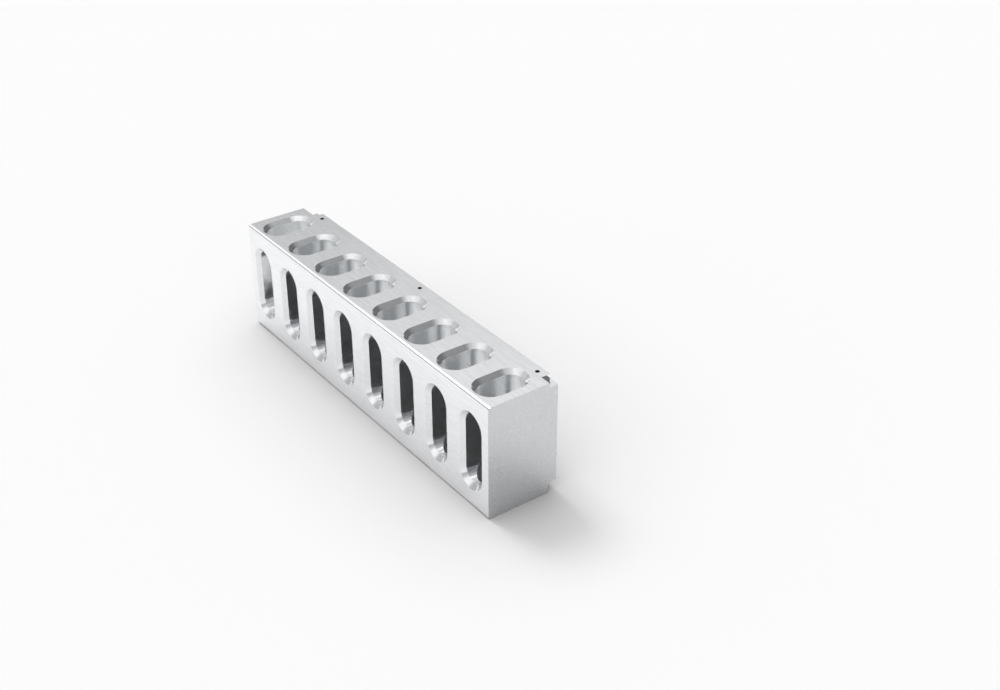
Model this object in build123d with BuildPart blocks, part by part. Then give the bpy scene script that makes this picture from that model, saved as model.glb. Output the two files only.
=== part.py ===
from build123d import *
import os

# Pocketed aluminium bar block, machined from one solid. Sizes in millimetres.
# X runs along the block from the slotted end to the plain end, Y from the slotted
# front face to the joint pad at the back, Z up from the underside it stands on.
# The origin is the bottom centre of the whole block, pad included.

# Body
length = 200.0
body_depth = 31.0
height = 55.5
front_edge_radius = 1.5

# Pockets, all milled with one cutter at one pitch
slot_count = 8
cutter_diameter = 12.0
front_slot_length = 34.5
top_slot_length = 22.0
slot_bevel = 2.0

# Slot in the end wall, opening into the first pocket
end_slot_length = 34.5
end_slot_width = 12.5
end_slot_bevel = 0.6

# Raised joint pad on the back face
pad_thickness = 4.6
pad_end_inset = 5.6
pad_side_inset = 5.5
notch_length = 5.6
notch_drop = 2.0
pad_corner_break = 0.3

# Small fixing holes down into the pad's upper edge
fixing_diameter = 2.05
fixing_depth = 8.0
fixing_offset = 1.45
fixing_pitch = 87.0
notch_hole_inset = 3.2

# Places that follow from the sizes above
total_depth = body_depth + pad_thickness
front_y = -total_depth / 2
back_y = front_y + body_depth
slot_y = front_y + body_depth / 2
slot_z = height / 2
left_x = -length / 2
right_x = length / 2
pitch = length / slot_count

pad_left = left_x + pad_end_inset
pad_centre_x = (pad_left + right_x) / 2
pad_length = right_x - pad_left
notch_floor_z = height - notch_drop
fixing_y = back_y + fixing_offset
notch_hole_reach = pad_length / 2 - notch_hole_inset


with BuildPart() as block:
    # Body section, drawn with its first axis along Y, and with the corners that become
    # the two long edges of the front face rounded
    with BuildSketch(Plane.YZ.offset(left_x)):
        with Locations((slot_y, slot_z)):
            section = Rectangle(body_depth, height)
        fillet(section.vertices().group_by(Axis.X)[0], front_edge_radius)
    extrude(amount=length)

    # Joint pad: flush with the top face, set in at the slotted end and along the
    # underside, with its upper corners cut down to a notch
    with BuildSketch(Plane.XZ.offset(-back_y)):
        with Locations((pad_centre_x, pad_side_inset)):
            Rectangle(pad_length, notch_floor_z - pad_side_inset, align=(Align.CENTER, Align.MIN))
            Rectangle(
                pad_length - 2 * notch_length,
                height - pad_side_inset,
                align=(Align.CENTER, Align.MIN),
            )
    extrude(amount=-pad_thickness)

    # Row of pockets right through from the top face to the underside
    with BuildSketch(Plane.XY.offset(height)):
        with Locations((0, slot_y)):
            with GridLocations(pitch, pitch, slot_count, 1):
                SlotOverall(top_slot_length, cutter_diameter, rotation=90)
    extrude(amount=-height, mode=Mode.SUBTRACT)

    # Row of front slots, milled in until they meet the middle of those pockets
    with BuildSketch(Plane.XZ.offset(-front_y)):
        with Locations((0, slot_z)):
            with GridLocations(pitch, pitch, slot_count, 1):
                SlotOverall(front_slot_length, cutter_diameter, rotation=90)
    extrude(amount=-body_depth / 2, mode=Mode.SUBTRACT)

    # Long slot in the end wall, through to the middle of the first pocket
    with BuildSketch(Plane.YZ.offset(left_x)):
        with Locations((slot_y, slot_z)):
            SlotOverall(end_slot_length, end_slot_width, rotation=90)
    extrude(amount=pitch / 2, mode=Mode.SUBTRACT)

    # Wide bevel round every pocket mouth, and a narrow one round the end slot
    top_face = block.faces().sort_by(Axis.Z)[-1]
    underside = block.faces().sort_by(Axis.Z)[0]
    front_face = block.faces().sort_by(Axis.Y)[0]
    end_face = block.faces().sort_by(Axis.X)[0]
    mouths = [wire for face in (top_face, underside, front_face) for wire in face.inner_wires()]
    chamfer([edge for wire in mouths for edge in wire.edges()], slot_bevel)
    end_mouth = end_face.inner_wires()[0]
    chamfer(end_mouth.edges(), end_slot_bevel)

    # Upright outer corners of the pad, lightly broken
    pad_corners = block.edges().filter_by(Axis.Z).group_by(Axis.Y)[-1]
    chamfer(pad_corners, pad_corner_break)

    # Three fixing holes in the top of the pad
    with BuildSketch(Plane.XY.offset(height)):
        with Locations((pad_centre_x, fixing_y)):
            with GridLocations(fixing_pitch, fixing_pitch, 3, 1):
                Circle(fixing_diameter / 2)
    extrude(amount=-fixing_depth, mode=Mode.SUBTRACT)

    # One fixing hole in the floor of each notch
    with BuildSketch(Plane.XY.offset(notch_floor_z)):
        with Locations(
            (pad_centre_x - notch_hole_reach, fixing_y),
            (pad_centre_x + notch_hole_reach, fixing_y),
        ):
            Circle(fixing_diameter / 2)
    extrude(amount=-fixing_depth, mode=Mode.SUBTRACT)


os.makedirs("parts", exist_ok=True)
block.part.label = "bar_block"
export_step(block.part, "parts/bar_block.step")
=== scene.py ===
import math

import bpy
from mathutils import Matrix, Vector


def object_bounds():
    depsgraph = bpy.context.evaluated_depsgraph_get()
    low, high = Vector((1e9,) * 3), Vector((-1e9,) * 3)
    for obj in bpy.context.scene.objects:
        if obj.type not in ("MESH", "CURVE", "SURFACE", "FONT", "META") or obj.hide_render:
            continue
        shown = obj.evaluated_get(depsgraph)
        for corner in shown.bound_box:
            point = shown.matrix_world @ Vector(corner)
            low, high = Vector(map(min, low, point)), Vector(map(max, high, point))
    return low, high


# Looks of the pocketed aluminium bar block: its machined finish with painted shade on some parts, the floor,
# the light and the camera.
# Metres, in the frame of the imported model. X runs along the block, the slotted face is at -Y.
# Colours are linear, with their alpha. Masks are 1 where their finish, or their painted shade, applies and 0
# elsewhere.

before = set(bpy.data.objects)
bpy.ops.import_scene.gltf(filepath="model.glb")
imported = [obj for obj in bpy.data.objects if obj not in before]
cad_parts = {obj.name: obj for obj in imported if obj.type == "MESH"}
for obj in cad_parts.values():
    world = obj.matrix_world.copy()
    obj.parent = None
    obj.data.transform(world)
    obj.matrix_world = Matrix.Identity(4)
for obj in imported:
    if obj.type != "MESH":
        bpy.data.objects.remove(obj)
cad_low, cad_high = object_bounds()
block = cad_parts["bar_block"]

# Camera, from the vanishing lines of the block's edges
CAMERA_PLACE = (0.48195, -0.29308, 0.37292)
CAMERA_TURN = (1.02240, 0.0, 0.93626)
LENS = 51.815
SENSOR_WIDTH = 36.0
SHIFT_Y = -0.00076
CLIP_START = 0.01

# Outer faces
METAL_COLOUR = (0.918, 0.927, 0.943, 1.0)
METAL_ROUGHNESS = 0.11

# Walls of the pockets, from just inside the block's faces, and of the slot in the end wall. Their colour is
# darker than
# the outer faces: partly the duller tone of milled walls, partly painted shade in the pockets
PAD_THICKNESS = 0.0046
WALL_TONE_AND_SHADE = (0.826, 0.835, 0.844, 1.0)
WALL_ROUGHNESS = 0.20
WALL_DEPTH = 0.0019
WALL_BLEND = 0.0004
END_WALL_DEPTH = 0.0005
END_WALL_BLEND = 0.0003

# Walls above and below the height that the front slots' cutter reached, the dullest, and darker in colour
# than the outer faces, partly as painted shade
MOUTH_TONE_AND_SHADE = (0.858, 0.871, 0.877, 1.0)
MOUTH_ROUGHNESS = 0.33
SLOT_LOW = 0.0105
SLOT_HIGH = 0.0450
SLOT_BLEND = 0.0012

# Bevels round the front slots, darker in colour than the face they are cut in: painted shade
RIM_PAINTED_SHADE = (0.812, 0.821, 0.835, 1.0)
RIM_DEPTH = 0.0024
RIM_LOW = 0.0075
RIM_HIGH = 0.0480

# The two milled ends of the bar: rougher than its long faces, and darker in colour as painted shade. The
# skin is a hair's breadth, which tells a face from what lies just inside it
END_PAINTED_SHADE = (0.632, 0.639, 0.652, 1.0)
END_ROUGHNESS = 0.28
SKIN = 0.00002

# Small drilled holes, dull inside and darkened with painted shade
HOLES_X = (-0.0912, -0.0842, 0.0028, 0.0898, 0.0968)
HOLES_Y = 0.01465
HOLES_BOTTOM = 0.045
HOLE_RADIUS = 0.00104
HOLE_PAINTED_SHADE = (0.24, 0.245, 0.25, 1.0)
HOLE_ROUGHNESS = 0.5

# Noises: the streaks of the lay, the clouds in the roughness and the fine grain of the bump. A
# stretch under 1 draws a noise out along the block. The middle range is used of the first two
NOISE_LOW = 0.3
NOISE_HIGH = 0.7
LAY = {"Scale": 800.0, "Detail": 3.0, "Roughness": 0.6}
LAY_STRETCH = 0.14
LAY_CONTRAST = 0.034
CLOUD = {"Scale": 60.0, "Detail": 4.0, "Roughness": 0.55}
CLOUD_SPREAD = 0.02
GRAIN = {"Scale": 6000.0, "Detail": 2.0}
GRAIN_STRETCH = 0.04
GRAIN_HEIGHT = 0.0000008

# Floor
FLOOR_COLOUR = (0.985, 0.985, 0.985, 1.0)
FLOOR_SIZE = 6.0

# Studio: each part has its brightness and its place. Angles are in degrees, the azimuth from +Y
# towards +X. The bounds of the walls are heights or directions as sines or cosines.

# Dim wall behind and to the right, at the floor and higher up
BACK_WALL = 0.158
BACK_WALL_TOP = 0.292
BACK_WALL_RISE = (0.52, 0.72)

# Wall round the front and left, which fades into the dim one
FRONT_WALL = 0.54
BACK_AZIMUTH = -163.0
WALL_TURN = (-0.535, -0.295)

# Pale foot of the walls all round, where they meet the floor
WALL_FOOT = 1.0
FOOT_RISE = (0.05, 0.11)

# Round soft-edged patches: azimuth, elevation, outer and inner radius
TOP_GLOW = 1.03
TOP_GLOW_PATCH = (-58.0, 72.3, 47.0, 31.6)
TOP_BOX = 1.04
TOP_BOX_PATCH = (0.0, 90.0, 35.5, 24.0)
LEFT_BOX = 1.18
LEFT_BOX_PATCH = (-102.3, 48.0, 28.4, 13.0)
MAIN_BOX = 8.0
MAIN_BOX_PATCH = (-94.0, 54.0, 13.0, 9.5)

# Low front softbox: azimuth, elevation, tilt, half width, half height and soft edge. It counts only
# on its own side of the studio, within these two radii
FRONT_BOX = 1.10
FRONT_BOX_PLACE = (176.5, 36.4, -26.4, 26.9, 17.7, 10.9)
SIDE_OUTER = 90.0
SIDE_INNER = 60.0

# Light paths
BOUNCES = 16
GLOSSY_BOUNCES = 12
CLAMP = 3.0


def add(tree, kind, inputs=None, **settings):
    """A new shader node with its settings, and its inputs set to values or linked to sockets."""
    node = tree.nodes.new(kind)
    for name, value in settings.items():
        setattr(node, name, value)
    for name, value in (inputs or {}).items():
        if isinstance(value, bpy.types.NodeSocket):
            tree.links.new(value, node.inputs[name])
        else:
            node.inputs[name].default_value = value
    return node


def maths(tree, operation, first, second=0.0):
    """The result of one Math node."""
    return add(tree, "ShaderNodeMath", {0: first, 1: second}, operation=operation).outputs[0]


def dot(tree, first, second):
    """The dot product of two directions."""
    return add(tree, "ShaderNodeVectorMath", {0: first, 1: second}, operation="DOT_PRODUCT").outputs["Value"]


def smooth(tree, value, low, high, to_low=0.0, to_high=1.0, kind="SMOOTHSTEP"):
    """A soft step: to_low where the value is under low, to_high where it is over high."""
    return add(
        tree,
        "ShaderNodeMapRange",
        {"Value": value, "From Min": low, "From Max": high, "To Min": to_low, "To Max": to_high},
        interpolation_type=kind,
    ).outputs["Result"]


def blend(tree, factor, first, second):
    """Two numbers mixed by a factor."""
    return add(tree, "ShaderNodeMix", {"Factor": factor, "A": first, "B": second}).outputs["Result"]


def tint(tree, factor, first, second):
    """Two colours mixed by a factor."""
    return add(tree, "ShaderNodeMix", {"Factor": factor, 6: first, 7: second}, data_type="RGBA").outputs[2]


def inside(tree, place, low, high, edge):
    """A soft step along one axis: 1 well between low and high, 0 outside them."""
    middle = (low + high) / 2
    away = maths(tree, "ABSOLUTE", maths(tree, "SUBTRACT", place, middle))
    reach = (high - low) / 2
    return smooth(tree, away, reach - edge, reach + edge, 1.0, 0.0)


def noise(tree, place, stretch, settings):
    """A noise drawn out along the block."""
    if stretch != 1.0:
        drawn = add(tree, "ShaderNodeMapping", {"Vector": place, "Scale": (stretch, 1.0, 1.0)})
        place = drawn.outputs["Vector"]
    return add(tree, "ShaderNodeTexNoise", {"Vector": place, **settings}).outputs["Fac"]


def material(name):
    """A new node material and its main shader."""
    made = bpy.data.materials.new(name)
    made.use_nodes = True
    return made, made.node_tree, made.node_tree.nodes["Principled BSDF"]


# Machined aluminium: where each finish and each patch of painted shade applies
metal, tree, shader = material("machined_aluminium")
place = add(tree, "ShaderNodeTexCoord").outputs["Object"]
axis = add(tree, "ShaderNodeSeparateXYZ", {0: place}).outputs
body_back = cad_high.y - PAD_THICKNESS
walls = maths(
    tree,
    "MULTIPLY",
    inside(tree, axis["Z"], WALL_DEPTH, cad_high.z - WALL_DEPTH, WALL_BLEND),
    inside(tree, axis["Y"], cad_low.y + WALL_DEPTH, body_back - WALL_DEPTH, WALL_BLEND),
)
lengthwise = inside(tree, axis["X"], cad_low.x + END_WALL_DEPTH, cad_high.x - END_WALL_DEPTH, END_WALL_BLEND)
walls = maths(tree, "MULTIPLY", walls, lengthwise)
slots = inside(tree, axis["Z"], SLOT_LOW, SLOT_HIGH, SLOT_BLEND)
rims = maths(
    tree,
    "MULTIPLY",
    inside(tree, axis["Y"], cad_low.y + 2 * SKIN, cad_low.y + RIM_DEPTH, SKIN),
    inside(tree, axis["Z"], RIM_LOW, RIM_HIGH, WALL_BLEND),
)
ends = maths(tree, "GREATER_THAN", maths(tree, "ABSOLUTE", axis["X"]), cad_high.x - SKIN)
flat = add(tree, "ShaderNodeCombineXYZ", {"X": axis["X"], "Y": axis["Y"]}).outputs["Vector"]
holes = 0.0
for x in HOLES_X:
    apart = add(tree, "ShaderNodeVectorMath", {0: flat, 1: (x, HOLES_Y, 0.0)}, operation="DISTANCE")
    holes = maths(tree, "MAXIMUM", holes, maths(tree, "LESS_THAN", apart.outputs["Value"], HOLE_RADIUS))
holes = maths(tree, "MULTIPLY", holes, maths(tree, "GREATER_THAN", axis["Z"], HOLES_BOTTOM))

# Its colour, with painted shade on the pocket walls, bevels, ends and holes, and with the lay
# The pocket walls get darker colours than the outer faces, partly as painted shade
colour = tint(tree, slots, MOUTH_TONE_AND_SHADE, WALL_TONE_AND_SHADE)
# Painted shade: the bevels round the front slots get a darker colour than the face
colour = tint(tree, walls, tint(tree, rims, METAL_COLOUR, RIM_PAINTED_SHADE), colour)
# Painted shade: the ends get a darker colour than the long faces
colour = tint(tree, ends, colour, END_PAINTED_SHADE)
# Painted shade inside the holes
colour = tint(tree, holes, colour, HOLE_PAINTED_SHADE)
lay = smooth(tree, noise(tree, place, LAY_STRETCH, LAY), NOISE_LOW, NOISE_HIGH)
colour = add(
    tree,
    "ShaderNodeVectorMath",
    {0: colour, "Scale": blend(tree, lay, 1.0 - LAY_CONTRAST, 1.0 + LAY_CONTRAST)},
    operation="SCALE",
).outputs["Vector"]
tree.links.new(colour, shader.inputs["Base Color"])
shader.inputs["Metallic"].default_value = 1.0

# Its roughness, with the clouds
cloud = noise(tree, place, 1.0, CLOUD)
cloud = smooth(tree, cloud, NOISE_LOW, NOISE_HIGH, -CLOUD_SPREAD, CLOUD_SPREAD)
dull = blend(tree, slots, MOUTH_ROUGHNESS, WALL_ROUGHNESS)
dull = blend(tree, walls, METAL_ROUGHNESS, dull)
dull = blend(tree, ends, dull, END_ROUGHNESS)
dull = blend(tree, holes, dull, HOLE_ROUGHNESS)
tree.links.new(maths(tree, "ADD", cloud, dull), shader.inputs["Roughness"])

# Its grain
grain = noise(tree, place, GRAIN_STRETCH, GRAIN)
bump = add(tree, "ShaderNodeBump", {"Strength": 1.0, "Distance": GRAIN_HEIGHT, "Height": grain})
tree.links.new(bump.outputs["Normal"], shader.inputs["Normal"])
block.material_slots[0].material = metal

# Floor: one pale colour for every ray, so that the metal mirrors the same floor that the camera sees
bpy.ops.mesh.primitive_plane_add(size=FLOOR_SIZE, location=(0.0, 0.0, 0.0))
floor = bpy.context.object
floor.name = "floor"
pale, tree, shader = material("floor_pale")
tree.nodes.remove(shader)
surface = add(tree, "ShaderNodeBsdfDiffuse", {"Color": FLOOR_COLOUR})
tree.links.new(surface.outputs[0], tree.nodes["Material Output"].inputs["Surface"])
floor.data.materials.append(pale)


def heading(azimuth, elevation):
    """The unit vector at an azimuth and an elevation."""
    a, e = math.radians(azimuth), math.radians(elevation)
    return (math.sin(a) * math.cos(e), math.cos(a) * math.cos(e), math.sin(e))


def patch(tree, direction, azimuth, elevation, outer, inner, kind="SMOOTHSTEP"):
    """A round soft-edged patch of the studio: 1 within inner degrees of a heading, 0 past outer."""
    near = dot(tree, direction, heading(azimuth, elevation))
    return smooth(tree, near, math.cos(math.radians(outer)), math.cos(math.radians(inner)), kind=kind)


def softbox(tree, direction, azimuth, elevation, tilt, width, height, edge):
    """A tilted oblong patch of the studio, its half width, half height and soft edge in degrees."""
    centre = Vector(heading(azimuth, elevation))
    across = Vector((centre.y, -centre.x, 0.0)).normalized()
    upward = across.cross(centre)
    turn = math.radians(tilt)
    sides = (
        (across * math.cos(turn) + upward * math.sin(turn), width),
        (upward * math.cos(turn) - across * math.sin(turn), height),
    )
    level = patch(tree, direction, azimuth, elevation, SIDE_OUTER, SIDE_INNER)
    for side, reach in sides:
        far = math.sin(math.radians(reach))
        step = inside(tree, dot(tree, direction, side), -far, far, math.sin(math.radians(edge)))
        level = maths(tree, "MULTIPLY", level, step)
    return level


# Studio, the same for every ray
world = bpy.data.worlds.new("studio")
bpy.context.scene.world = world
world.use_nodes = True
tree = world.node_tree
way = add(tree, "ShaderNodeTexCoord").outputs["Generated"]
up = add(tree, "ShaderNodeSeparateXYZ", {0: way}).outputs["Z"]
back = smooth(tree, up, *BACK_WALL_RISE, BACK_WALL, BACK_WALL_TOP)
turned = smooth(tree, dot(tree, way, heading(BACK_AZIMUTH, 0.0)), *WALL_TURN)
level = blend(tree, turned, back, FRONT_WALL)
level = blend(tree, patch(tree, way, *TOP_GLOW_PATCH, "LINEAR"), level, TOP_GLOW)
level = blend(tree, patch(tree, way, *TOP_BOX_PATCH), level, TOP_BOX)
level = blend(tree, softbox(tree, way, *FRONT_BOX_PLACE), level, FRONT_BOX)
level = blend(tree, patch(tree, way, *LEFT_BOX_PATCH), level, LEFT_BOX)
level = blend(tree, patch(tree, way, *MAIN_BOX_PATCH), level, MAIN_BOX)
level = blend(tree, smooth(tree, up, *FOOT_RISE, 1.0, 0.0), level, WALL_FOOT)
sky = tree.nodes["Background"]
tree.links.new(level, sky.inputs["Strength"])
sky.inputs["Color"].default_value = (1.0, 1.0, 1.0, 1.0)

# The floor takes no second light from the metal, as in a plain product picture, and the light
# finds its way to the bottom of the pockets
bpy.context.scene.cycles.caustics_reflective = False
bpy.context.scene.cycles.max_bounces = BOUNCES
bpy.context.scene.cycles.glossy_bounces = GLOSSY_BOUNCES
bpy.context.scene.cycles.sample_clamp_indirect = CLAMP

# Camera
lens = bpy.data.cameras.new("camera")
lens.lens = LENS
lens.sensor_width = SENSOR_WIDTH
lens.shift_y = SHIFT_Y
lens.clip_start = CLIP_START
camera = bpy.data.objects.new("camera", lens)
bpy.context.scene.collection.objects.link(camera)
camera.location = CAMERA_PLACE
camera.rotation_euler = CAMERA_TURN
bpy.context.scene.camera = camera
bpy.context.scene.view_settings.view_transform = "Standard"
